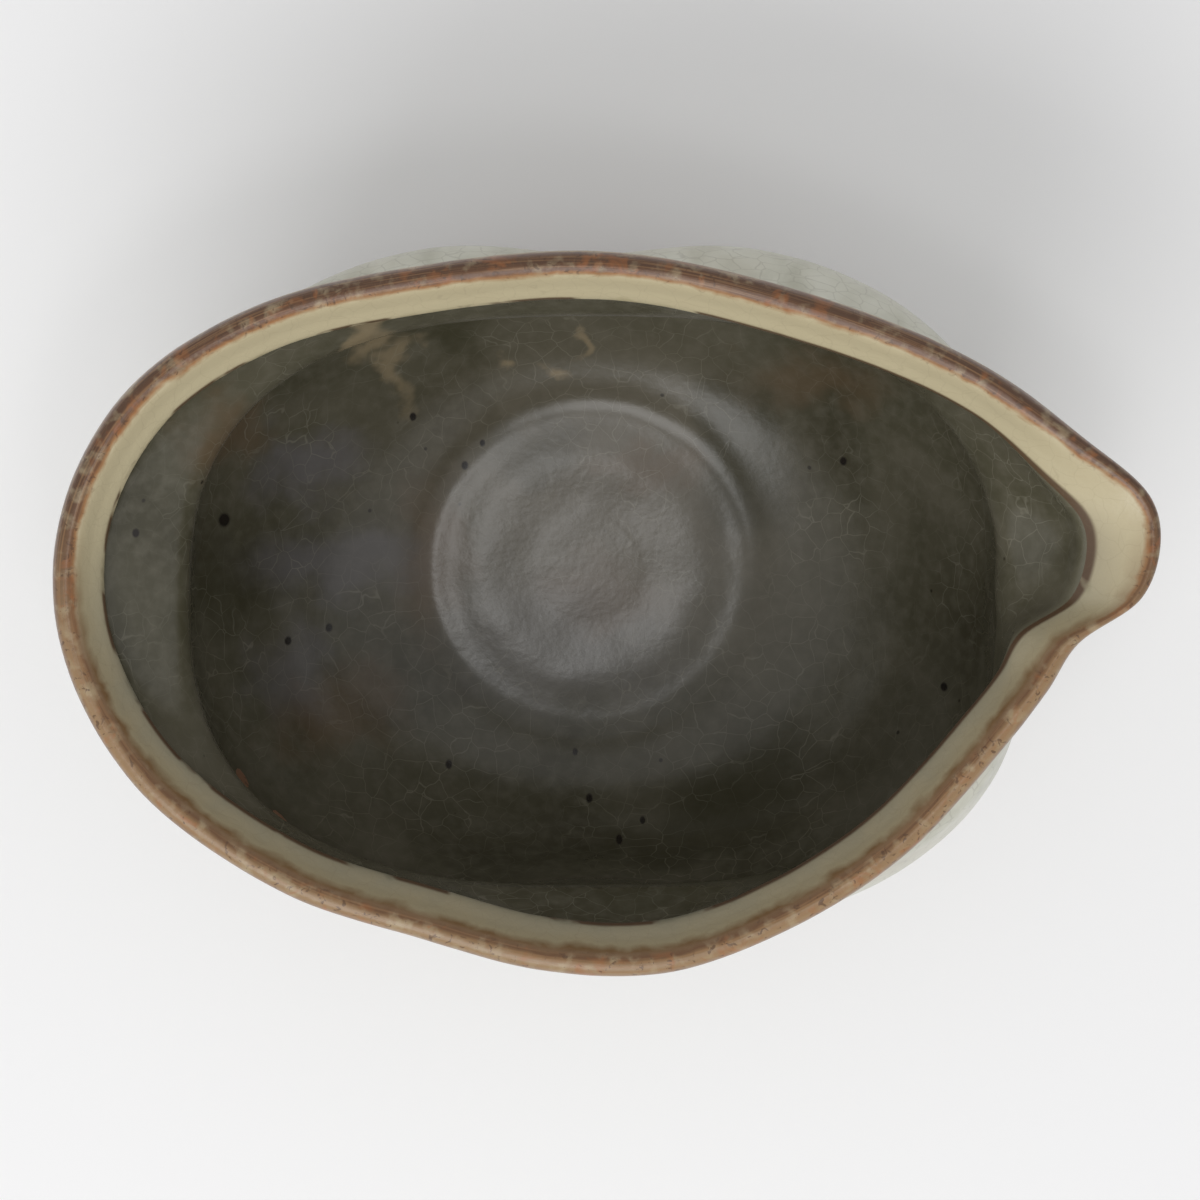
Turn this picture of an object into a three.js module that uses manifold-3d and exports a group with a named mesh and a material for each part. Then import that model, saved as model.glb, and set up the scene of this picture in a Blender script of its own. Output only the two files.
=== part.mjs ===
// A katakuchi, a thrown stoneware pouring bowl. It was squeezed to an oval while soft, so the belly keeps
// its round swell below a drawn-in neck, and a lip for pouring was luted into a notch in the rim.
// The clay pieces are the bowl, its rim band, the spout and the foot ring. Three glaze coats lie on them.
// Sizes are in millimetres, +Z is up, the foot stands on z = 0 and the spout points along +X.
import * as THREE from "three";
import { mergeVertices } from "three/addons/utils/BufferGeometryUtils.js";
import Module from "manifold-3d";

const wasm = await Module();
wasm.setup();

// Heights above the table.
const footHeight = 7;
const haunchHeight = 16;
const bellyHeight = 41;
const neckHeight = 64;
const lipHeight = 83;

// Ovals of the outside at those heights, round the axis of the foot. A squareness of 2 is an ellipse.
const haunch = { halfLength: 47, halfWidth: 42, squareness: 2.1 };
const belly = { halfLength: 65, halfWidth: 53, squareness: 2.5 };
const neck = { halfLength: 64.5, halfWidth: 47, squareness: 2.6 };
const neckShift = 0.5; // the neck's centre lies this far towards the spout
const pressDepth = 3; // flat left on each long side where the bowl was squeezed
const pressReach = 16; // half its length along X
const spineShare = 0.45; // the lip is drawn in towards a spine along X that is this share of its length

// The outer edge of the lip seen from above: x, y and its rise above lipHeight, anticlockwise from the tip.
const lipPoints = [
  [83, 10.5, -1.4],
  [81.5, 17, -1.2],
  [72.5, 25, -0.2],
  [55.5, 37, 0.6],
  [30, 47, 1],
  [3, 52.5, 0.8],
  [-27, 50, 0.2],
  [-49.5, 44, 0],
  [-67, 32, -0.4],
  [-76.5, 14, -0.8],
  [-76.5, -5, -0.8],
  [-66, -25, -0.3],
  [-45, -40.5, 0],
  [-24, -47.6, 0.3],
  [-6.5, -52.1, 0.8],
  [11.5, -52.4, 1],
  [29.5, -46, 0.6],
  [45, -36.1, 0.2],
  [55, -26, 0],
  [66.5, -11.5, -0.4],
  [71, -4.5, -0.7],
  [80.5, 2.5, -1.2],
];

// The section of the lip, outside to inside: how far in from its outer edge and how far below its top.
// The last three are the inner arris of the crest, the edge of the bevelled ledge and the wall under it.
const lipSection = {
  under: [0.8, 8.4],
  side: [0, 2.3],
  shoulder: [0.7, 0.5],
  crest: [2, 0],
  arris: [3.4, 0.6],
  bevel: [5.3, 3.4],
  ledge: [7.3, 6.8],
  underLedge: [6.6, 8.6],
};

// The same at the tip of the spout, where the ledge dies out in the trough.
const spoutSection = {
  under: [3.6, 8],
  side: [0.3, 2.5],
  shoulder: [0.3, 0.6],
  crest: [1.2, 0],
  arris: [2.6, 0.5],
  bevel: [6.4, 2.4],
  ledge: [11, 5.2],
  underLedge: [14.5, 8.2],
};
const spoutReach = 34; // from the tip along the lip to where the spout's section ends

// Wall and floor.
const wall = 5;
const floorThickness = 5;
const floorRadius = 22;
const floorHollow = 0.8; // the middle of the floor lies this much lower than its edge
const groove = { radius: 25, width: 3, depth: 0.7 }; // a finger's mark round the floor
const throwingRings = { pitch: 11, depth: 0.35 }; // left on the inside by the potter's fingers

// A shallow hollow pressed with a thumb into the throat of the spout.
const thumbMark = { x: 65.5, y: 11.5, radius: 7.5, depth: 1.4 };
const bandHeight = 10.4; // of the rim band

// Foot ring, turned from the base.
const footRadius = 25.5;
const footWidth = 6; // of the ring at its top
const footTread = 3; // of the flat that stands on the table
const footTaper = 1.2; // how far the outside draws in towards the table
const bossRadius = 10; // the turner's boss in the middle of the recess
const bossDrop = 1.4;

// Glaze.
const glazeThickness = 0.6;
const fusedGap = 0.3; // left between pieces that are fused or luted together
const glazeLine = 13; // mean height of the glaze's lower edge
const glazeRuns = 1.6; // how far that edge wanders up and down

// The spout is luted into a notch of the rim, cut like a U.
const notchWidth = 29;
const notchRadius = 7;
const notchFloor = 57; // height of the notch's lowest point
const notchStart = 40; // from the foot's axis, inside the bowl
const notchReach = 60; // past the tip of the spout

// Facets.
const columns = 60;
const crowding = 0.45; // columns stand closer together towards the spout
const footSegments = 64;

const clayColour = 0x7d5f49;
const lipColour = 0xa88a63;
const insideColour = 0x55544a;
const outsideColour = 0xb9b5a6;

const tau = 2 * Math.PI;
const tie = 0.001; // diagonals of a facet that differ by less count as equal
const floorTop = footHeight + floorThickness;
const skinDepth = glazeThickness + fusedGap; // from the glaze's face to the clay's

const lipEdge = new THREE.CatmullRomCurve3(
  lipPoints.map(([x, y, rise]) => new THREE.Vector3(x, y, lipHeight + rise)),
  true,
  "centripetal",
);
lipEdge.arcLengthDivisions = 1200;

// Distance from the axis to an oval's edge in the direction of an angle.
function ovalRadius({ halfLength, halfWidth, squareness }, angle) {
  const along = Math.abs(Math.cos(angle) / halfLength) ** squareness;
  const across = Math.abs(Math.sin(angle) / halfWidth) ** squareness;
  return (along + across) ** (-1 / squareness);
}

function ovalPoint(oval, angle, height, { inset = 0, press = 0, shift = 0 } = {}) {
  const shrunk = {
    ...oval,
    halfLength: oval.halfLength - inset,
    halfWidth: oval.halfWidth - inset,
  };
  const radius = ovalRadius(shrunk, angle);
  const x = radius * Math.cos(angle);
  const y = radius * Math.sin(angle);
  const flat = press * Math.exp(-((x / pressReach) ** 2));
  return new THREE.Vector3(x + shift, y - Math.sign(y) * flat, height);
}

function circlePoint(radius, angle, height) {
  return new THREE.Vector3(radius * Math.cos(angle), radius * Math.sin(angle), height);
}

// Stations of the section, counted along it from the foot, up the outside, over the lip and down to the floor.
const station = {
  foot: 0,
  haunch: 1,
  belly: 2,
  neck: 3,
  lipUnder: 4,
  crest: 7,
  ledge: 10,
  underLedge: 11,
  innerNeck: 12,
  floorEdge: 15,
  floorMiddle: 16,
};
const outsideStations = [0.12, 0.6, 1, 1.35, 1.7, 2, 2.3, 2.65, 3, 3.35];
const lipStations = [4, 4.6, 5.3, 6, 7, 8, 9, 10, 10.5, 11];
const insideStations = [11.5, 12, 12.4, 12.8, 13.2, 13.6, 14, 14.3, 14.6, 14.85, 15.1, 15.5, 16];
const seam = 0.04; // in stations: half the gap between two coats

const sections = new Map();

// One section of the glazed surface, at a share of the way round the lip.
function sectionAt(around) {
  const key = around.toFixed(7);
  if (sections.has(key)) return sections.get(key);
  const share = ((around % 1) + 1) % 1;
  const crowded = share - (crowding * Math.sin(tau * share)) / tau;
  const edge = lipEdge.getPointAt(((crowded % 1) + 1) % 1);
  const inward = new THREE.Vector3((spineShare - 1) * edge.x, -edge.y, 0).normalize();
  const fromTip = Math.min(crowded, 1 - crowded) * lipEdge.getLength();
  const spouting = 1 - THREE.MathUtils.smoothstep(fromTip, 0, spoutReach);
  const lip = (name) => {
    const inset = THREE.MathUtils.lerp(lipSection[name][0], spoutSection[name][0], spouting);
    const drop = THREE.MathUtils.lerp(lipSection[name][1], spoutSection[name][1], spouting);
    return edge.clone().addScaledVector(inward, inset).setZ(edge.z - drop);
  };
  const angle = Math.atan2(edge.y, edge.x);
  const pressed = { press: pressDepth };
  const points = [
    circlePoint(footRadius + skinDepth, angle, footHeight),
    ovalPoint(haunch, angle, haunchHeight),
    ovalPoint(belly, angle, bellyHeight, pressed),
    ovalPoint(neck, angle, neckHeight, { press: pressDepth / 3, shift: neckShift }),
    ...Object.keys(lipSection).map(lip),
    ovalPoint(neck, angle, neckHeight, { inset: wall, shift: neckShift }),
    ovalPoint(belly, angle, bellyHeight, { inset: wall, press: pressDepth }),
    ovalPoint(haunch, angle, haunchHeight + wall, { inset: wall * 0.7 }),
    circlePoint(floorRadius, angle, floorTop + floorHollow),
    circlePoint(floorRadius / 3, angle, floorTop + floorHollow * 0.1),
  ];
  const section = new THREE.CatmullRomCurve3(points, false, "centripetal");
  sections.set(key, section);
  return section;
}

const bump = (distance, reach) => Math.exp(-((distance / reach) ** 2));

// How far the inside is sunk at a point by the throwing rings, the finger's groove and the thumb mark.
function handMarks(point, at) {
  const onInside = THREE.MathUtils.smoothstep(at, station.ledge, station.underLedge);
  const onWall = onInside * (1 - THREE.MathUtils.smoothstep(at, station.floorEdge - 1, station.floorEdge));
  const turns = (point.z - floorTop) / throwingRings.pitch;
  const rings = onWall * throwingRings.depth * (0.5 + 0.5 * Math.sin(tau * turns));
  const fromAxis = Math.hypot(point.x, point.y);
  const onFloor = THREE.MathUtils.smoothstep(at, station.floorEdge - 1.2, station.floorEdge - 0.6);
  const finger = onFloor * groove.depth * bump(fromAxis - groove.radius, groove.width);
  const fromThumb = Math.hypot(point.x - thumbMark.x, point.y - thumbMark.y);
  return rings + finger + onInside * thumbMark.depth * bump(fromThumb, thumbMark.radius);
}

// A point of the surface, or of a surface that lies deeper in the wall by depth.
function skinPoint(around, at, depth = 0) {
  const last = station.floorMiddle;
  const point = sectionAt(around).getPoint(at / last);
  const sunk = depth + handMarks(point, at);
  if (sunk === 0) return point;
  const step = 0.002;
  const low = Math.max(at - step, 0);
  const high = Math.min(at + step, last);
  const upwards = sectionAt(around)
    .getPoint(high / last)
    .sub(sectionAt(around).getPoint(low / last));
  const onwards = sectionAt(around + step)
    .getPoint(at / last)
    .sub(sectionAt(around - step).getPoint(at / last));
  const outwards = onwards.cross(upwards).normalize();
  return point.addScaledVector(outwards, -sunk);
}

// A row of points right round the surface at one station, which may be a function of the way round.
function surfaceRow(at, depth) {
  return Array.from({ length: columns }, (_, column) => {
    const around = column / columns;
    return skinPoint(around, typeof at === "function" ? at(around) : at, depth);
  });
}

const surfaceRows = (stations, depth) => stations.map((at) => surfaceRow(at, depth));

function ringRow(radius, height) {
  return Array.from({ length: columns }, (_, column) => {
    const { x, y } = skinPoint(column / columns, station.neck);
    return circlePoint(radius, Math.atan2(y, x), height);
  });
}

const pole = (height) => [new THREE.Vector3(0, 0, height)];

// Joins rows of points, going up the outside and down the inside, into one closed surface. Facets are split
// along their shorter diagonal. A row of one point is a pole. In a looped surface the last row joins the first.
function loft(rows, looped = false) {
  const starts = [];
  const positions = [];
  for (const row of rows) {
    starts.push(positions.length / 3);
    for (const point of row) positions.push(point.x, point.y, point.z);
  }
  const triangles = [];
  const bands = looped ? rows.length : rows.length - 1;
  for (let band = 0; band < bands; band++) {
    const next = (band + 1) % rows.length;
    for (let column = 0; column < columns; column++) {
      const beside = (column + 1) % columns;
      const [low, lowBeside] = rows[band].length > 1 ? [column, beside] : [0, 0];
      const [high, highBeside] = rows[next].length > 1 ? [column, beside] : [0, 0];
      const rising = rows[band][low].distanceTo(rows[next][highBeside]);
      const falling = rows[band][lowBeside].distanceTo(rows[next][high]);
      const corners = [low, lowBeside].map((corner) => corner + starts[band]);
      const above = [highBeside, high].map((corner) => corner + starts[next]);
      if (low === lowBeside) triangles.push(corners[0], ...above);
      else if (high === highBeside) triangles.push(...corners, above[0]);
      else if (rising < falling - tie) triangles.push(...corners, above[0], corners[0], ...above);
      else triangles.push(...corners, above[1], corners[1], ...above);
    }
  }
  return new THREE.BufferGeometry()
    .setAttribute("position", new THREE.Float32BufferAttribute(positions, 3))
    .setIndex(triangles);
}

function toSolid(geometry) {
  const plain = geometry.clone();
  plain.deleteAttribute("normal");
  plain.deleteAttribute("uv");
  const merged = mergeVertices(plain);
  return new wasm.Manifold(
    new wasm.Mesh({
      numProp: 3,
      vertProperties: merged.attributes.position.array,
      triVerts: new Uint32Array(merged.index.array),
    }),
  );
}

function toGeometry(solid) {
  const mesh = solid.getMesh();
  return new THREE.BufferGeometry()
    .setAttribute("position", new THREE.BufferAttribute(mesh.vertProperties, 3))
    .setIndex(new THREE.BufferAttribute(mesh.triVerts, 1));
}

// The U that is cut out of the rim for the spout, grown by a clearance, as a bar along the spout.
function notchBar(clearance) {
  const half = notchWidth / 2 + clearance;
  const radius = notchRadius + clearance;
  const top = lipHeight * 2;
  const outline = new THREE.Shape();
  outline.moveTo(half, top);
  outline.lineTo(-half, top);
  outline.lineTo(-half, lipHeight);
  outline.lineTo(-radius, notchFloor + notchRadius);
  outline.absarc(0, notchFloor + notchRadius, radius, Math.PI, tau, false);
  outline.lineTo(half, lipHeight);
  outline.closePath();
  const [tipX, tipY] = lipPoints[0];
  const bearing = Math.atan2(tipY, tipX);
  const along = new THREE.Vector3(Math.cos(bearing), Math.sin(bearing), 0);
  const across = new THREE.Vector3(-Math.sin(bearing), Math.cos(bearing), 0);
  const bar = new THREE.ExtrudeGeometry(outline, {
    depth: Math.hypot(tipX, tipY) - notchStart + notchReach,
    bevelEnabled: false,
    curveSegments: 10,
  });
  const placed = new THREE.Matrix4()
    .makeBasis(across, new THREE.Vector3(0, 0, 1), along)
    .setPosition(along.clone().multiplyScalar(notchStart));
  return toSolid(bar.applyMatrix4(placed));
}

// The station between two others at which the surface, or one deeper in the wall, reaches a height.
function stationAtHeight(around, height, low, high, depth = 0) {
  const rising = skinPoint(around, high, depth).z > skinPoint(around, low, depth).z;
  let [from, to] = [low, high];
  for (let halving = 0; halving < 20; halving++) {
    const middle = (from + to) / 2;
    if (skinPoint(around, middle, depth).z < height === rising) from = middle;
    else to = middle;
  }
  return (from + to) / 2;
}

const bandBottom = lipHeight - bandHeight;
const outsideJoint = [station.neck, station.lipUnder];
const insideJoint = [station.ledge, station.innerNeck];

const reversed = (rows) => [...rows].reverse();

// The station on the outside, or the inside, at which the clay's face reaches the rim band's joint.
function jointStation([low, high], height = bandBottom) {
  return (around) => stationAtHeight(around, height, low, high, skinDepth);
}

// The bowl: underside with its boss, wall up to the rim band's joint, and the inside down to the floor.
function bowlSolid() {
  const baseRows = [
    pole(footHeight - bossDrop),
    ringRow(bossRadius * 0.6, footHeight - bossDrop * 0.75),
    ringRow(bossRadius, footHeight),
    ringRow(footRadius, footHeight),
  ];
  const top = bandBottom - fusedGap;
  const joint = [jointStation(outsideJoint, top), jointStation(insideJoint, top)];
  return toSolid(
    loft([
      ...baseRows,
      ...surfaceRows([...outsideStations, ...joint, ...insideStations], skinDepth),
      pole(floorTop - skinDepth),
    ]),
  );
}

// The rim band: a flat joint below, the outside of the lip, its top and the bevel with its ledge inside.
function bandSolid() {
  const stations = [jointStation(outsideJoint), ...lipStations, jointStation(insideJoint)];
  return toSolid(loft(surfaceRows(stations, skinDepth), true));
}

// The spout is what the notch takes from the whole clay wall, so it carries on the lip and the belly.
function spoutSolid() {
  const overLip = [jointStation(outsideJoint), ...lipStations, jointStation(insideJoint)];
  const stations = [...outsideStations, ...overLip, ...insideStations];
  const rows = [pole(footHeight), ...surfaceRows(stations, skinDepth), pole(floorTop - skinDepth)];
  const wholeWall = toSolid(loft(rows));
  return wholeWall.intersect(notchBar(0));
}

// The lower edge of the outside glaze runs lower in some places, as it flowed in the firing.
function glazeEdge(around) {
  const wave = 0.6 * Math.sin(3 * tau * around) + 0.4 * Math.sin(7 * tau * around + 1);
  return stationAtHeight(around, glazeLine + glazeRuns * wave, station.foot, station.belly);
}

// A coat of glaze over some stations, its back a gap clear of the clay.
function coat(stations) {
  const face = surfaceRows(stations, 0);
  const back = surfaceRows(stations, glazeThickness);
  return loft([...face, ...reversed(back)], true);
}

function outsideGlaze() {
  const covered = outsideStations.filter((at) => at >= station.haunch);
  return coat([glazeEdge, ...covered, jointStation(outsideJoint), station.lipUnder - seam]);
}

function lipGlaze() {
  const [first, ...others] = lipStations.filter((at) => at < station.ledge);
  return coat([first + seam, ...others, station.ledge - seam]);
}

function insideGlaze() {
  const underLedge = lipStations.filter((at) => at > station.ledge);
  const stations = [station.ledge + seam, ...underLedge, jointStation(insideJoint), ...insideStations];
  const face = surfaceRows(stations, 0);
  const back = surfaceRows(stations, glazeThickness);
  return loft([pole(floorTop - glazeThickness), ...reversed(back), ...face, pole(floorTop)]);
}

// The foot ring, with a tread that is narrower than its root.
function footRing() {
  const root = footHeight - fusedGap;
  const innerRoot = footRadius - footWidth;
  const treadOuter = footRadius - footTaper - 1;
  const profile = [
    [footRadius, root],
    [innerRoot, root],
    [innerRoot + 0.6, 1.6],
    [treadOuter - footTread, 0],
    [treadOuter, 0],
    [footRadius - footTaper, 1.1],
    [footRadius - footTaper * 0.5, root * 0.55],
    [footRadius, root],
  ].map(([radius, height]) => new THREE.Vector2(radius, height));
  return new THREE.LatheGeometry(profile, footSegments).rotateX(Math.PI / 2);
}

function piece(name, geometry, color, roughness) {
  const material = new THREE.MeshStandardMaterial({ color, roughness, metalness: 0 });
  const mesh = new THREE.Mesh(geometry, material);
  mesh.name = name;
  return mesh;
}

const cut = notchBar(fusedGap);
const vessel = new THREE.Group();
vessel.add(
  piece("bowl", toGeometry(bowlSolid().subtract(cut)), clayColour, 0.9),
  piece("rim_band", toGeometry(bandSolid().subtract(cut)), clayColour, 0.9),
  piece("spout", toGeometry(spoutSolid()), clayColour, 0.9),
  piece("foot_ring", footRing(), clayColour, 0.9),
  piece("outer_glaze", outsideGlaze(), outsideColour, 0.25),
  piece("lip_glaze", lipGlaze(), lipColour, 0.3),
  piece("inner_glaze", insideGlaze(), insideColour, 0.2),
);

// The part's origin is on the table, under the middle of the whole vessel.
const middle = new THREE.Box3().setFromObject(vessel).getCenter(new THREE.Vector3());
vessel.position.set(-middle.x, -middle.y, 0);

const pitcher = new THREE.Group();
pitcher.add(vessel);

export default pitcher;
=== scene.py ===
import bpy
import bmesh
import math
import numpy as np
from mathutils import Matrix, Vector, noise


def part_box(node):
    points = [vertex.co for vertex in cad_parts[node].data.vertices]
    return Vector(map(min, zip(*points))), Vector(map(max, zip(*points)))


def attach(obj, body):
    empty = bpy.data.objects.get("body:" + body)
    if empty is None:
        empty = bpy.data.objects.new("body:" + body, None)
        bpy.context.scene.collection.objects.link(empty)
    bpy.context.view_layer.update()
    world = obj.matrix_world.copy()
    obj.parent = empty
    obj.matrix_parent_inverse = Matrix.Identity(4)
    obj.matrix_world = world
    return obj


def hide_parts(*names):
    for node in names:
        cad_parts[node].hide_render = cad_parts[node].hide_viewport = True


# A squeezed stoneware pouring bowl, seen almost straight down. The clay is the frame's own, and the three
# coats of glaze are made again here on a finer mesh, over the same sections. Sizes are in millimetres.

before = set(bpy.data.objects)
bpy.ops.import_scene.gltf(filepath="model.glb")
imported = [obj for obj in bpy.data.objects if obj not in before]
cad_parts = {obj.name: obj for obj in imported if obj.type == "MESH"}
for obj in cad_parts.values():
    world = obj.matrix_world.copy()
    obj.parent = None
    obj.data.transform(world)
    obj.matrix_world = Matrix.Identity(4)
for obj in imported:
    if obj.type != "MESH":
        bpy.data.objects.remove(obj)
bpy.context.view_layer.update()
mm = 0.001

# the sections stand round the upright axis through the foot ring
footLow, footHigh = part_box("foot_ring")
footAxis = (np.array(footLow) + np.array(footHigh)) / 2 * (1, 1, 0)

# Ovals of the outside are half length, half width and squareness.
body = {
    "footHeight": 7,
    "footRadius": 25.5,
    "haunch": (47, 42, 2.1),
    "haunchHeight": 16,
    "belly": (65, 53, 2.5),
    "bellyHeight": 41,
    "neck": (64.5, 47, 2.6),
    "neckHeight": 64,
    "neckShift": 0.5,
    "pressDepth": 3,
    "pressReach": 16,
    "wall": 5,
    "floorTop": 12,
    "floorRadius": 22,
    "floorHollow": 0.8,
}

rim = {
    "height": 83,
    "spineShare": 0.45,
    "spoutReach": 34,
    "crowding": 0.45,
    "curveSteps": 4801,
    # x, y and rise of the outer edge, anticlockwise from the tip of the spout
    "edge": [
        (83, 10.5, -1.4), (81.5, 17, -1.2), (72.5, 25, -0.2), (55.5, 37, 0.6), (30, 47, 1),
        (3, 52.5, 0.8), (-27, 50, 0.2), (-49.5, 44, 0), (-67, 32, -0.4), (-76.5, 14, -0.8),
        (-76.5, -5, -0.8), (-66, -25, -0.3), (-45, -40.5, 0), (-24, -47.6, 0.3), (-6.5, -52.1, 0.8),
        (11.5, -52.4, 1), (29.5, -46, 0.6), (45, -36.1, 0.2), (55, -26, 0), (66.5, -11.5, -0.4),
        (71, -4.5, -0.7), (80.5, 2.5, -1.2),
    ],
    # how far in and how far down each line of the lip lies, outside to inside
    "lip": [(0.8, 8.4), (0, 2.3), (0.7, 0.5), (2, 0), (3.4, 0.6), (5.3, 3.4), (7.3, 6.8), (6.6, 8.6)],
    "spout": [(3.6, 8), (0.3, 2.5), (0.3, 0.6), (1.2, 0), (2.6, 0.5), (6.4, 2.4), (11, 5.2), (14.5, 8.2)],
}

glaze = {
    "thickness": 0.6,
    "edgeHeight": 13,
    "edgeRuns": 1.6,
    "edgeWaves": ((0.6, 3, 0), (0.4, 7, 1)),    # strength, number round the foot, and phase
    "edgeTries": 401,
    "clearOfClay": 0.3,
    "backDepth": 0.35,      # the fine coats are thinner than the solids', so that none reaches the clay
    "columns": 320,
    "outerRows": 70,
    "lipRows": 100,
    "innerRows": 170,
    "backRows": 22,
    "sharpFrom": 50,        # degrees between two faces
}

# The numbered lines of a section run from the foot up the outside, over the lip and down to the floor.
line = {
    "foot": 0, "haunch": 1, "belly": 2, "lipUnder": 4, "ledge": 10, "underLedge": 11, "innerHaunch": 14,
    "floorEdge": 15, "floorMiddle": 16,
}


def catmullRom(points, at):
    # a smooth curve through the points, as in the solids, at a list of places along it
    count = points.shape[-2]
    index = np.clip(np.floor(at).astype(int), 0, count - 2)
    share = (at - index)[:, None]
    before = 2 * points[..., :1, :] - points[..., 1:2, :]
    after = 2 * points[..., -1:, :] - points[..., -2:-1, :]
    padded = np.concatenate([before, points, after], axis=-2)
    p0, p1, p2, p3 = (padded[..., index + step, :] for step in range(4))
    d0, d1, d2 = (
        np.sqrt(np.linalg.norm(b - a, axis=-1, keepdims=True)) + 1e-9
        for a, b in ((p0, p1), (p1, p2), (p2, p3))
    )
    t1 = ((p1 - p0) / d0 - (p2 - p0) / (d0 + d1) + (p2 - p1) / d1) * d1
    t2 = ((p2 - p1) / d1 - (p3 - p1) / (d1 + d2) + (p3 - p2) / d2) * d1
    cubic = 2 * p1 - 2 * p2 + t1 + t2
    square = 3 * p2 - 3 * p1 - 2 * t1 - t2
    return p1 + share * (t1 + share * (square + share * cubic))


def ovalLine(oval, angle, height, inset=0, press=0, shift=0):
    halfLength, halfWidth, squareness = oval[0] - inset, oval[1] - inset, oval[2]
    along = np.abs(np.cos(angle) / halfLength) ** squareness
    across = np.abs(np.sin(angle) / halfWidth) ** squareness
    radius = (along + across) ** (-1 / squareness)
    x = radius * np.cos(angle)
    y = radius * np.sin(angle)
    flat = press * np.exp(-((x / body["pressReach"]) ** 2))
    return np.stack([x + shift, y - np.sign(y) * flat, np.full_like(x, height)], axis=-1)


def circleLine(radius, angle, height):
    return np.stack([radius * np.cos(angle), radius * np.sin(angle), np.full_like(angle, height)], axis=-1)


def sectionPoints(columns):
    points = np.array(rim["edge"], float) + (0, 0, rim["height"])
    wrapped = np.concatenate([points[-2:], points, points[:3]])
    dense = catmullRom(wrapped, np.linspace(2, 2 + len(points), rim["curveSteps"]))
    length = np.concatenate([[0], np.cumsum(np.linalg.norm(np.diff(dense, axis=0), axis=1))])
    share = np.arange(columns) / columns
    crowded = share - rim["crowding"] * np.sin(2 * np.pi * share) / (2 * np.pi)
    edge = np.stack([np.interp(crowded * length[-1], length, dense[:, axis]) for axis in range(3)], axis=-1)
    inward = np.stack([(rim["spineShare"] - 1) * edge[:, 0], -edge[:, 1]], axis=-1)
    inward /= np.linalg.norm(inward, axis=1, keepdims=True)
    nearTip = np.clip(np.minimum(crowded, 1 - crowded) * length[-1] / rim["spoutReach"], 0, 1)
    spouting = 1 - nearTip * nearTip * (3 - 2 * nearTip)
    angle = np.arctan2(edge[:, 1], edge[:, 0])
    lipLines = []
    for plain, poured in zip(rim["lip"], rim["spout"]):
        inset = plain[0] + (poured[0] - plain[0]) * spouting
        drop = plain[1] + (poured[1] - plain[1]) * spouting
        across = edge[:, :2] + inward * inset[:, None]
        lipLines.append(np.concatenate([across, (edge[:, 2] - drop)[:, None]], axis=1))
    press, shift, wall = body["pressDepth"], body["neckShift"], body["wall"]
    rootRadius = body["footRadius"] + glaze["thickness"] + glaze["clearOfClay"]
    lines = [
        circleLine(rootRadius, angle, body["footHeight"]),
        ovalLine(body["haunch"], angle, body["haunchHeight"]),
        ovalLine(body["belly"], angle, body["bellyHeight"], press=press),
        ovalLine(body["neck"], angle, body["neckHeight"], press=press / 3, shift=shift),
        *lipLines,
        ovalLine(body["neck"], angle, body["neckHeight"], inset=wall, shift=shift),
        ovalLine(body["belly"], angle, body["bellyHeight"], inset=wall, press=press),
        ovalLine(body["haunch"], angle, body["haunchHeight"] + wall, inset=wall * 0.7),
        circleLine(body["floorRadius"], angle, body["floorTop"] + body["floorHollow"]),
        circleLine(body["floorRadius"] / 3, angle, body["floorTop"] + body["floorHollow"] * 0.1),
    ]
    return np.stack(lines, axis=1)


sections = sectionPoints(glaze["columns"])
around = np.arange(glaze["columns"]) / glaze["columns"]
print("sections worked out")


def surfaceRows(at):
    # points and outward directions of the glaze's face at a list of places along every section
    at = np.asarray(at, float)
    step = 0.02
    points = catmullRom(sections, at)
    below = catmullRom(sections, np.clip(at - step, 0, line["floorMiddle"]))
    above = catmullRom(sections, np.clip(at + step, 0, line["floorMiddle"]))
    onwards = np.roll(points, -1, axis=0) - np.roll(points, 1, axis=0)
    outward = np.cross(onwards, above - below)
    outward /= np.linalg.norm(outward, axis=2, keepdims=True) + 1e-12
    return points.transpose(1, 0, 2), outward.transpose(1, 0, 2)


handMarks = {
    "throwingPitch": 11,    # of the rings left by the fingers, measured up the wall
    "throwingDepth": 0.35,
    "grooveRadius": 25,     # of the finger's mark round the floor
    "grooveWidth": 3,
    "grooveDepth": 0.7,
    "grooveLines": (13.8, 14.4),
    "thumb": (65.5, 11.5),  # a shallow hollow pressed into the spout's throat
    "thumbRadius": 7.5,
    "thumbDepth": 1.4,
    "unevenDepth": 0.1,     # slow dents all over, which the solids leave out
    "unevenSize": 24,
    "rippleDepth": 0.05,
    "rippleSize": 6,
}


def smoothStep(value, low, high):
    share = np.clip((value - low) / (high - low), 0, 1)
    return share * share * (3 - 2 * share)


def noiseOver(points, size):
    flat = points.reshape(-1, 3) / size
    return np.array([noise.noise(Vector(p)) for p in flat]).reshape(points.shape[:2])


def bellShape(distance, width):
    return np.exp(-((distance / width) ** 2))


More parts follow.
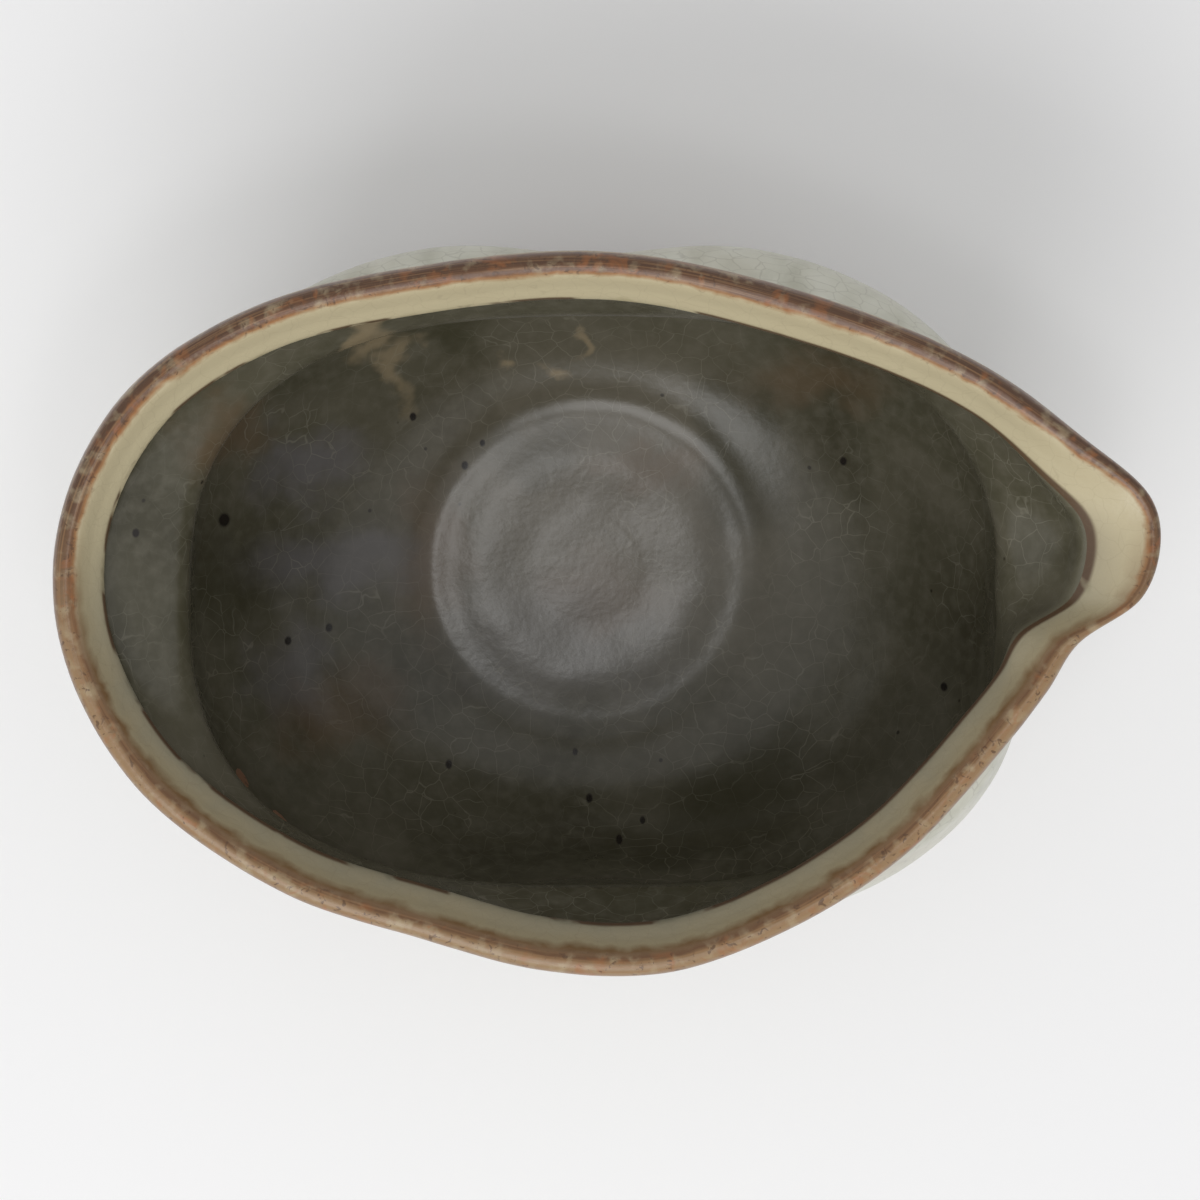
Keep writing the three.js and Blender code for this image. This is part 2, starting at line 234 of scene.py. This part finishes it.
def sunk(points, stations):
    # how far the face lies below the plain section: the same hand marks as in the solids, and slow dents
    marks = handMarks
    onInside = smoothStep(stations, line["ledge"], line["underLedge"])
    onWall = onInside * (1 - smoothStep(stations, line["innerHaunch"], line["floorEdge"]))
    turns = (points[..., 2] - body["floorTop"]) / marks["throwingPitch"]
    depth = onWall * marks["throwingDepth"] * (0.5 + 0.5 * np.sin(2 * np.pi * turns))
    fromAxis = np.hypot(points[..., 0], points[..., 1])
    groove = bellShape(fromAxis - marks["grooveRadius"], marks["grooveWidth"])
    depth += smoothStep(stations, *marks["grooveLines"]) * marks["grooveDepth"] * groove
    fromThumb = np.hypot(points[..., 0] - marks["thumb"][0], points[..., 1] - marks["thumb"][1])
    depth += onInside * marks["thumbDepth"] * bellShape(fromThumb, marks["thumbRadius"])
    depth += marks["unevenDepth"] * (noiseOver(points, marks["unevenSize"]) + 0.5)
    return depth + marks["rippleDepth"] * (noiseOver(points, marks["rippleSize"]) + 0.5)


def coatMesh(name, stations, closedByPoles=False, firstRow=None):
    # a coat of glaze: its face over the stations and a plainer back, on one grid that is wrapped round
    columns = glaze["columns"]
    face, outward = surfaceRows(stations)
    faceStations = np.repeat(np.asarray(stations, float)[:, None], columns, axis=1)
    if firstRow is not None:
        face[0], outward[0], faceStations[0] = firstRow
    face = face - outward * sunk(face, faceStations)[..., None]
    picked = np.unique(np.linspace(0, len(stations) - 1, glaze["backRows"]).astype(int))
    back = face[picked] - outward[picked] * glaze["backDepth"]
    rows = [*face, *back[::-1]]
    rowStations = [*faceStations, *faceStations[picked][::-1]]
    if closedByPoles:
        top = np.tile(face[-1].mean(axis=0), (columns, 1))
        rows = [*back, top - (0, 0, glaze["backDepth"]), top, *face[::-1]]
        rowStations = [*faceStations[picked], faceStations[-1], faceStations[-1], *faceStations[::-1]]
    rows.append(rows[0])
    rowStations.append(rowStations[0])
    bm = bmesh.new()
    bmesh.ops.create_grid(bm, x_segments=columns, y_segments=len(rows) - 1, size=1)
    stationLayer = bm.verts.layers.float.new("station")
    for vert in bm.verts:
        column = round((vert.co.x + 1) / 2 * columns) % columns
        row = round((vert.co.y + 1) / 2 * (len(rows) - 1))
        vert[stationLayer] = rowStations[row][column]
        vert.co = rows[row][column] * mm + footAxis
    bmesh.ops.remove_doubles(bm, verts=bm.verts, dist=1e-6)
    bmesh.ops.recalc_face_normals(bm, faces=bm.faces)
    for edge in bm.edges:
        if len(edge.link_faces) == 2 and edge.calc_face_angle(0) > math.radians(glaze["sharpFrom"]):
            edge.smooth = False
    for polygon in bm.faces:
        polygon.smooth = True
    mesh = bpy.data.meshes.new(name)
    bm.to_mesh(mesh)
    bm.free()
    piece = bpy.data.objects.new(name, mesh)
    bpy.context.collection.objects.link(piece)
    return piece


def glazeEdgeRow():
    # the outer coat's lower edge, which runs lower in some places
    waves = glaze["edgeWaves"]
    wave = sum(strength * np.sin(2 * np.pi * number * around + phase) for strength, number, phase in waves)
    height = glaze["edgeHeight"] + glaze["edgeRuns"] * wave
    tried = np.linspace(line["foot"], line["belly"], glaze["edgeTries"])
    points, outward = surfaceRows(tried)
    index = np.argmin(np.abs(points[..., 2] - height), axis=0)
    columns = np.arange(glaze["columns"])
    return points[index, columns], outward[index, columns], tried[index]


outerStations = np.linspace(line["haunch"], line["lipUnder"], glaze["outerRows"])
lipStations = np.linspace(line["lipUnder"], line["ledge"], glaze["lipRows"])
innerStations = np.linspace(line["ledge"], line["floorMiddle"], glaze["innerRows"])
outerCoat = coatMesh("outerGlazeCoat", outerStations, firstRow=glazeEdgeRow())
lipCoat = coatMesh("lipGlazeCoat", lipStations)
innerCoat = coatMesh("innerGlazeCoat", innerStations, closedByPoles=True)
for piece, node in ((outerCoat, "outer_glaze"), (lipCoat, "lip_glaze"), (innerCoat, "inner_glaze")):
    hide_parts(node)
    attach(piece, "root")
    print(piece.name, len(piece.data.polygons), "faces")


def linear(hexColour):
    channels = [int(hexColour[i:i + 2], 16) / 255 for i in (1, 3, 5)]
    return [c / 12.92 if c <= 0.04045 else ((c + 0.055) / 1.055) ** 2.4 for c in channels] + [1]


def add(tree, kind, inputs=None, **settings):
    # adds a node with its settings, and links or sets its inputs
    node = tree.nodes.new(kind)
    for key, value in settings.items():
        setattr(node, key, value)
    for key, value in (inputs or {}).items():
        if isinstance(value, bpy.types.NodeSocket):
            tree.links.new(value, node.inputs[key])
        else:
            node.inputs[key].default_value = value
    return node


def newMaterial(name):
    material = bpy.data.materials.new(name)
    material.use_nodes = True
    material.node_tree.nodes.clear()
    return material, material.node_tree


def ramp(tree, factor, stops):
    node = add(tree, "ShaderNodeValToRGB", {"Fac": factor})
    elements = node.color_ramp.elements
    while len(elements) > 1:
        elements.remove(elements[-1])
    for index, (place, colour) in enumerate(stops):
        element = elements[0] if index == 0 else elements.new(place)
        element.position = place
        element.color = linear(colour) if isinstance(colour, str) else (colour, colour, colour, 1)
    return node.outputs["Color"]


def mixColour(tree, factor, a, b):
    node = add(tree, "ShaderNodeMix", data_type="RGBA")
    for socket, value in ((0, factor), (6, a), (7, b)):
        if isinstance(value, bpy.types.NodeSocket):
            tree.links.new(value, node.inputs[socket])
        else:
            node.inputs[socket].default_value = linear(value) if isinstance(value, str) else value
    return node.outputs[2]


def maths(tree, operation, a, b=0.0, c=0.0):
    return add(tree, "ShaderNodeMath", {0: a, 1: b, 2: c}, operation=operation).outputs[0]


def vectorMaths(tree, operation, a, b):
    return add(tree, "ShaderNodeVectorMath", {0: a, 1: b}, operation=operation).outputs[0]


def between(tree, value, low, high, first=0.0, last=1.0, smooth=False):
    # goes from first to last while the value goes from low to high
    return add(
        tree, "ShaderNodeMapRange",
        {"Value": value, "From Min": low, "From Max": high, "To Min": first, "To Max": last},
        interpolation_type="SMOOTHSTEP" if smooth else "LINEAR",
    ).outputs[0]


def tinted(tree, colour, tint, mask, strength):
    return mixColour(tree, maths(tree, "MULTIPLY", mask, strength), colour, tint)


def objectPlace(tree):
    return add(tree, "ShaderNodeTexCoord").outputs["Object"]


def stationOf(tree):
    # which line of its section a point lies on, as each coat's mesh holds it
    return add(tree, "ShaderNodeAttribute", attribute_name="station").outputs["Fac"]


def noiseAt(tree, vector, size, detail=3.0, distortion=0.0):
    return add(
        tree, "ShaderNodeTexNoise",
        {"Vector": vector, "Scale": 1 / (size * mm), "Detail": detail, "Distortion": distortion},
    ).outputs["Fac"]


def wanderAt(tree, vector, size, detail):
    return add(
        tree, "ShaderNodeTexNoise", {"Vector": vector, "Scale": 1 / (size * mm), "Detail": detail}
    ).outputs["Color"]


crackleBends = {"sizeInCells": 1.5, "reach": 2.5, "detail": 2.0}


def crackle(tree, vector, cell, width):
    # 1 along the lines of the crackle and 0 inside its cells
    bends = wanderAt(tree, vector, cell * crackleBends["sizeInCells"], crackleBends["detail"])
    shaken = vectorMaths(tree, "MULTIPLY", bends, (crackleBends["reach"] * mm,) * 3)
    moved = vectorMaths(tree, "ADD", vector, shaken)
    cells = add(
        tree, "ShaderNodeTexVoronoi", {"Vector": moved, "Scale": 1 / (cell * mm)}, feature="DISTANCE_TO_EDGE"
    )
    return between(tree, cells.outputs["Distance"], 0.0, width, 1.0, 0.0, smooth=True)


def finish(tree, colour, roughness, height, bumpDepth, ior=1.5):
    bump = add(tree, "ShaderNodeBump", {"Height": height, "Distance": bumpDepth * mm, "Strength": 1.0})
    shader = add(tree, "ShaderNodeBsdfPrincipled", {
        "Base Color": colour, "Roughness": roughness, "IOR": ior, "Normal": bump.outputs[0],
    })
    add(tree, "ShaderNodeOutputMaterial", {"Surface": shader.outputs[0]})


camera = {
    "distance": 1000,       # from the lip to the lens
    "tilt": 6,              # degrees from straight down, leaning back over the far side
    "sensor": 36,
    "photoSize": 1200,
    "pixel": 0.1444,        # millimetres of the lip's plane in one pixel of the photograph
    "vesselCentre": (606, 617),
}

photoCentre = camera["photoSize"] / 2
lensTilt = math.radians(camera["tilt"])
aim = Vector((
    (photoCentre - camera["vesselCentre"][0]) * camera["pixel"] * mm,
    (camera["vesselCentre"][1] - photoCentre) * camera["pixel"] * mm,
    rim["height"] * mm,
))
eye = aim + Vector((0, math.sin(lensTilt), math.cos(lensTilt))) * camera["distance"] * mm


def seenAt(pixel, height):
    # the place on a level plane that shows at a pixel of the photograph
    right = Vector((1, 0, 0))
    up = Vector((0, math.cos(lensTilt), -math.sin(lensTilt)))
    acrossPhoto = (pixel[0] - photoCentre) * camera["pixel"] * mm
    downPhoto = (pixel[1] - photoCentre) * camera["pixel"] * mm
    ray = aim + acrossPhoto * right - downPhoto * up - eye
    hit = eye + ray * ((height * mm - eye.z) / ray.z)
    return hit.x, hit.y


# Patches of colour inside: pixel, height, half length and half width, and strength.
patches = {
    "lavender": [
        ((300, 490), 60, (7, 5), 0.6), ((330, 580), 45, (12, 5), 0.55), ((285, 690), 50, (6, 6), 0.5),
        ((560, 640), 12, (16, 9), 0.25),
    ],
    "olive": [
        ((435, 350), 68, (6, 4), 0.6), ((540, 450), 20, (7, 5), 0.5), ((735, 440), 30, (6, 7), 0.6),
        ((740, 500), 20, (6, 6), 0.5), ((720, 825), 50, (10, 6), 0.6), ((640, 880), 64, (8, 3), 0.5),
        ((790, 780), 50, (8, 6), 0.5), ((210, 620), 68, (5, 7), 0.5),
    ],
    "rust": [
        ((220, 440), 66, (6, 5), 0.5), ((430, 560), 22, (5, 10), 0.45), ((820, 400), 60, (9, 4), 0.4),
        ((650, 470), 22, (7, 3), 0.4), ((600, 590), 13, (8, 5), 0.35), ((330, 740), 55, (9, 5), 0.45),
    ],
    "tan": [
        ((365, 350), 70, (2.2, 4), 0.6), ((395, 390), 66, (1.6, 5), 0.5), ((561, 394), 55, (1.3, 1), 0.6),
        ((573, 366), 62, (1, 1.6), 0.5), ((494, 378), 60, (1.2, 1), 0.5),
    ],
}
patchColours = {"lavender": "#6a676a", "olive": "#34321f", "rust": "#65503a", "tan": "#98876a"}

# The larger iron specks: pixel, height and half width.
specks = [
    ((212, 541), 66, 0.8), ((133, 537), 76, 0.5), ((277, 668), 60, 0.5), ((321, 650), 50, 0.5),
    ((407, 434), 50, 0.5), ((480, 455), 35, 0.4), ((462, 478), 35, 0.5), ((849, 475), 45, 0.5),
    ((955, 713), 66, 0.5), ((575, 758), 22, 0.4), ((445, 787), 45, 0.5), ((589, 822), 45, 0.5),
    ((644, 851), 55, 0.4), ((620, 875), 62, 0.5), ((618, 930), 76, 0.5),
]

innerLook = {
    "cloudSize": 26,
    "mottleSize": 2.2,
    "floorTint": {"pixel": (590, 520), "height": 12, "half": (26, 22), "softness": 0.8, "strength": 0.55},
    "patchEdgeSize": 9,
    "patchEdgeReach": 16,
    "patchSoftness": 0.7,
    "crackleCell": 3.4,
    "crackleWidth": 0.024,
    "crackleFadeSize": 18,
    "dotSpacing": 4.5,
    "speckLength": 1.3,     # over its width
    "speckSoftness": 0.35,
    "shelfEnd": 10.6,       # the pale glaze under the ledge ends at this line
    "shelfStrength": 0.35,
    "grainSize": 1.2,
    "swellSize": 11,
    "swellHeight": 4.0,     # in grains
    "bump": 0.025,
    "roughness": 0.25,
}

lipLook = {
    "wanderSize": 5,
    "wander": 1.2,          # lines of the section
    "nearSideEnds": -12,
    "farSideStarts": 20,
    "streaksPerMetre": 45.0,
    "streaksPerLine": 5.0,
    "thumbTint": {"pixel": (1058, 545), "height": 76, "half": (6, 5), "softness": 0.8, "strength": 0.5},
    "ledgeLine": (9.6, 9.78),
    "breakSize": 9,
    "fewerBreaksFrom": 10,
    "noBreaksFrom": 32,
    "crackleCell": 3.0,
    "crackleWidth": 0.03,
    "crackleStrength": 0.12,
    "grainSize": 1.1,
    "bump": 0.06,
    "roughness": 0.32,
}

outerLook = {
    "runSize": 7,
    "runStretch": (1, 1, 0.25),
    "blushSize": 28,
    "crackleCell": 3.4,
    "crackleWidth": 0.05,
    "crackleStrength": 0.35,
    "thinEdge": (0.7, 1.3),     # the glaze thins to the clay's colour between these lines
    "thinEdgeStrength": 0.7,
    "grainSize": 1.6,
    "bump": 0.05,
    "roughness": 0.28,
}

clayLook = {"toastSize": 12, "gritSize": 0.7, "bump": 0.12, "roughness": 0.85, "ior": 1.45}


def plateau(tree, place, centre, half, softness):
    # 1 round a point of the plan and 0 away from it
    away = vectorMaths(tree, "SUBTRACT", place, (*centre, 0))
    scaled = vectorMaths(tree, "MULTIPLY", away, (1 / (half[0] * mm), 1 / (half[1] * mm), 0))
    length = add(tree, "ShaderNodeVectorMath", {0: scaled}, operation="LENGTH").outputs["Value"]
    return between(tree, length, 1 - softness, 1 + softness, 1.0, 0.0, smooth=True)


def localTint(tree, place, colour, tint, spot):
    mask = plateau(tree, place, seenAt(spot["pixel"], spot["height"]), spot["half"], spot["softness"])
    return tinted(tree, colour, tint, mask, spot["strength"])


def pooledPatches(tree, place, colour):
    look = innerLook
    wander = wanderAt(tree, place, look["patchEdgeSize"], 4.0)
    centred = vectorMaths(tree, "SUBTRACT", wander, (0.5, 0.5, 0.5))
    reach = look["patchEdgeReach"] * mm
    ragged = vectorMaths(tree, "ADD", place, vectorMaths(tree, "MULTIPLY", centred, (reach, reach, 0)))
    for name, spots in patches.items():
        for pixel, height, half, strength in spots:
            mask = plateau(tree, ragged, seenAt(pixel, height), half, look["patchSoftness"])
            colour = tinted(tree, colour, patchColours[name], mask, strength)
    return colour


def ironSpecks(tree, place, colour):
    look = innerLook
    dots = add(tree, "ShaderNodeTexVoronoi", {"Vector": place, "Scale": 1 / (look["dotSpacing"] * mm)})
    dotMask = ramp(tree, dots.outputs["Distance"], [(0.05, 0.8), (0.09, 0.0)])
    cellValue = add(tree, "ShaderNodeSeparateColor", {"Color": dots.outputs["Color"]}).outputs[0]
    rare = ramp(tree, cellValue, [(0.78, 0.0), (0.8, 1.0)])
    colour = tinted(tree, colour, "#241f18", dotMask, rare)
    for pixel, height, half in specks:
        size = (half, half * look["speckLength"])
        mask = plateau(tree, place, seenAt(pixel, height), size, look["speckSoftness"])
        colour = mixColour(tree, mask, colour, "#1c1712")
    return colour


def innerGlazeMaterial():
    # ash glaze fired in reduction: grey-green, crackled, with iron specks and patches where it pooled
    look = innerLook
    material, tree = newMaterial("crackledAshGlaze")
    place = objectPlace(tree)
    clouds = noiseAt(tree, place, look["cloudSize"], 5.0, 0.6)
    colour = ramp(tree, clouds, [(0.3, "#403d2e"), (0.5, "#4d4a3b"), (0.7, "#5c584a")])
    mottle = ramp(tree, noiseAt(tree, place, look["mottleSize"], 6.0), [(0.42, 0.0), (0.75, 0.4)])
    colour = mixColour(tree, mottle, colour, "#6c685b")
    colour = localTint(tree, place, colour, "#736a5c", look["floorTint"])
    colour = pooledPatches(tree, place, colour)
    shown = ramp(tree, noiseAt(tree, place, look["crackleFadeSize"], 2.0), [(0.4, 0.04), (0.62, 0.26)])
    cracks = crackle(tree, place, look["crackleCell"], look["crackleWidth"])
    colour = tinted(tree, colour, "#9a9686", cracks, shown)
    colour = ironSpecks(tree, place, colour)
    shelf = between(tree, stationOf(tree), line["ledge"], look["shelfEnd"], 1.0, 0.0)
    colour = tinted(tree, colour, "#7d7966", shelf, look["shelfStrength"])
    grain = noiseAt(tree, place, look["grainSize"], 3.0)
    swells = maths(tree, "MULTIPLY", noiseAt(tree, place, look["swellSize"], 1.5, 0.3), look["swellHeight"])
    finish(tree, colour, look["roughness"], maths(tree, "ADD", grain, swells), look["bump"])
    return material


def crestMarks(tree, place, plan, station, colour, crest):
    # streaks along the lip and flecks of cream, rust and brown
    look = lipLook
    alongLip = add(tree, "ShaderNodeCombineXYZ", {
        0: maths(tree, "MULTIPLY", plan[0], look["streaksPerMetre"]),
        1: maths(tree, "MULTIPLY", plan[1], look["streaksPerMetre"]),
        2: maths(tree, "MULTIPLY", station, look["streaksPerLine"]),
    }).outputs[0]
    streaks = add(tree, "ShaderNodeTexNoise", {"Vector": alongLip, "Scale": 1.0, "Detail": 3.0})
    marks = (
        (ramp(tree, streaks.outputs["Fac"], [(0.5, 0.0), (0.64, 0.55)]), "#8f6c49"),
        (ramp(tree, noiseAt(tree, place, 2.4, 6.0), [(0.52, 0.0), (0.7, 0.5)]), "#a8997a"),
        (ramp(tree, noiseAt(tree, place, 3.6, 5.0, 0.8), [(0.56, 0.0), (0.68, 0.5)]), "#94592b"),
        (ramp(tree, noiseAt(tree, place, 1.1, 4.0, 1.0), [(0.6, 0.0), (0.66, 0.7)]), "#4a301c"),
    )
    for mask, tint in marks:
        colour = tinted(tree, colour, tint, mask, crest)
    return colour


def ledgeLine(tree, place, plan, station, colour):
    # the brown line on the ledge is broken at the back and runs on towards the spout
    look = lipLook
    onLine = between(tree, station, *look["ledgeLine"], smooth=True)
    mended = between(tree, plan[0], look["fewerBreaksFrom"] * mm, look["noBreaksFrom"] * mm, last=0.22)
    pieces = maths(tree, "ADD", noiseAt(tree, place, look["breakSize"], 3.0), mended)
    return tinted(tree, colour, "#4b3220", onLine, ramp(tree, pieces, [(0.46, 0.0), (0.53, 0.9)]))


def lipGlazeMaterial():
    # the same glaze, thin on the edge, where the clay's iron burns through it in brown, rust and cream, with
    # a painted highlight along the near side's crest
    look = lipLook
    material, tree = newMaterial("ironBreakingGlaze")
    place = objectPlace(tree)
    station = stationOf(tree)
    plan = add(tree, "ShaderNodeSeparateXYZ", {0: place}).outputs
    noiseAcross = noiseAt(tree, place, look["wanderSize"], 6.0, 0.5)
    wander = maths(tree, "MULTIPLY_ADD", noiseAcross, look["wander"], -look["wander"] / 2)
    lipSpan = line["ledge"] - line["lipUnder"]
    ragged = maths(tree, "ADD", station, wander)
    share = maths(tree, "MULTIPLY_ADD", ragged, 1 / lipSpan, -line["lipUnder"] / lipSpan)
    farSide = ramp(tree, share, [
        (0.0, "#a9a695"), (0.13, "#a08f6c"), (0.19, "#5d3e27"), (0.4, "#4e3421"), (0.57, "#644127"),
        (0.62, "#9a6f44"), (0.68, "#bdb191"), (0.95, "#c0b595"), (1.0, "#b2a786"),
    ])
    # on the near side, the paler tan band along the crest, from 0.24 to 0.52, is a painted highlight between
    # the brown edges
    nearSideWithHighlight = ramp(tree, share, [
        (0.0, "#8d8672"), (0.14, "#6b4a2c"), (0.24, "#7b5c3d"), (0.36, "#937857"), (0.52, "#826543"),
        (0.6, "#634327"), (0.7, "#755a3b"), (0.78, "#a09478"), (0.95, "#948d78"), (1.0, "#7c7866"),
    ])
    side = between(tree, plan[1], look["nearSideEnds"] * mm, look["farSideStarts"] * mm, smooth=True)
    colour = mixColour(tree, side, nearSideWithHighlight, farSide)
    # the streaks and flecks keep to the crest, and the bevel inside it stays clean
    crest = between(tree, share, 0.6, 0.7, 1.0, 0.0)
    colour = crestMarks(tree, place, plan, station, colour, crest)
    colour = localTint(tree, place, colour, "#7c7061", look["thumbTint"])
    colour = ledgeLine(tree, place, plan, station, colour)
    cracks = crackle(tree, place, look["crackleCell"], look["crackleWidth"])
    colour = tinted(tree, colour, "#6f6048", cracks, look["crackleStrength"])
    finish(tree, colour, look["roughness"], noiseAt(tree, place, look["grainSize"], 4.0), look["bump"])
    return material


def outerGlazeMaterial():
    # the glaze outside is thick and pale, with faint streaks where it ran and a fine grey crackle
    look = outerLook
    material, tree = newMaterial("paleRunGlaze")
    place = objectPlace(tree)
    stretched = add(tree, "ShaderNodeMapping", {"Vector": place, "Scale": look["runStretch"]}).outputs[0]
    runs = noiseAt(tree, stretched, look["runSize"], 5.0, 0.4)
    colour = ramp(tree, runs, [(0.3, "#a9a896"), (0.5, "#bdbcac"), (0.7, "#c6c5b7")])
    blush = ramp(tree, noiseAt(tree, place, look["blushSize"], 3.0), [(0.45, 0.0), (0.7, 0.4)])
    colour = mixColour(tree, blush, colour, "#a38f72")
    cracks = crackle(tree, place, look["crackleCell"], look["crackleWidth"])
    colour = tinted(tree, colour, "#7f7a6a", cracks, look["crackleStrength"])
    thin = between(tree, stationOf(tree), *look["thinEdge"], 1.0, 0.0)
    colour = tinted(tree, colour, "#8a6a48", thin, look["thinEdgeStrength"])
    finish(tree, colour, look["roughness"], noiseAt(tree, place, look["grainSize"], 3.0), look["bump"])
    return material


def clayMaterial():
    # bare stoneware, turned and left unglazed: toasted brown, gritty, with dark iron grains
    look = clayLook
    material, tree = newMaterial("toastedStoneware")
    place = objectPlace(tree)
    toast = noiseAt(tree, place, look["toastSize"], 5.0)
    colour = ramp(tree, toast, [(0.3, "#6a4c37"), (0.55, "#86634a"), (0.75, "#9a7658")])
    grit = noiseAt(tree, place, look["gritSize"], 4.0)
    colour = mixColour(tree, ramp(tree, grit, [(0.6, 0.0), (0.68, 0.7)]), colour, "#3d2c20")
    finish(tree, colour, look["roughness"], grit, look["bump"], look["ior"])
    return material


outerCoat.data.materials.append(outerGlazeMaterial())
lipCoat.data.materials.append(lipGlazeMaterial())
innerCoat.data.materials.append(innerGlazeMaterial())
clay = clayMaterial()
for name in ("bowl", "rim_band", "spout", "foot_ring"):
    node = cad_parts[name]
    for slot in node.material_slots:
        slot.material = clay
    if not node.material_slots:
        node.data.materials.append(clay)
print("materials made")

lights = {
    "world": 0.66,
    "aim": (0, 0, 0.05),
    "key": {"place": (-0.28, -0.8, 1.1), "size": 0.9, "power": 8.4},
    "top": {"place": (0.07, -0.16, 1.2), "size": 0.14, "power": 0.7},
}
paper = {"half": 3, "colour": "#f1f1f2", "roughness": 0.9}


def studio():
    bm = bmesh.new()
    bmesh.ops.create_grid(bm, x_segments=1, y_segments=1, size=paper["half"])
    mesh = bpy.data.meshes.new("studioFloor")
    bm.to_mesh(mesh)
    bm.free()
    floor = bpy.data.objects.new("studioFloor", mesh)
    bpy.context.collection.objects.link(floor)
    # smooth white paper, which shows only the vessel's shadow
    material, tree = newMaterial("paperSweep")
    shader = add(tree, "ShaderNodeBsdfPrincipled", {
        "Base Color": linear(paper["colour"]), "Roughness": paper["roughness"],
    })
    add(tree, "ShaderNodeOutputMaterial", {"Surface": shader.outputs[0]})
    mesh.materials.append(material)
    world = bpy.data.worlds.new("studio")
    bpy.context.scene.world = world
    world.use_nodes = True
    world.node_tree.nodes["Background"].inputs[0].default_value = (1, 1, 1, 1)
    world.node_tree.nodes["Background"].inputs[1].default_value = lights["world"]


def areaLight(name, settings):
    data = bpy.data.lights.new(name, "AREA")
    data.size = settings["size"]
    data.energy = settings["power"]
    lamp = bpy.data.objects.new(name, data)
    bpy.context.collection.objects.link(lamp)
    lamp.location = settings["place"]
    lamp.rotation_euler = (Vector(lights["aim"]) - lamp.location).to_track_quat("-Z", "Y").to_euler()


def photoCamera():
    data = bpy.data.cameras.new("photoCamera")
    data.sensor_width = camera["sensor"]
    data.sensor_fit = "HORIZONTAL"
    data.lens = data.sensor_width * camera["distance"] / (camera["photoSize"] * camera["pixel"])
    holder = bpy.data.objects.new("photoCamera", data)
    bpy.context.collection.objects.link(holder)
    holder.location = eye
    holder.rotation_euler = (-lensTilt, 0, 0)
    bpy.context.scene.camera = holder


studio()
areaLight("keySoftbox", lights["key"])
areaLight("topSoftbox", lights["top"])
photoCamera()
bpy.context.scene.view_settings.view_transform = "Standard"
print("studio set")
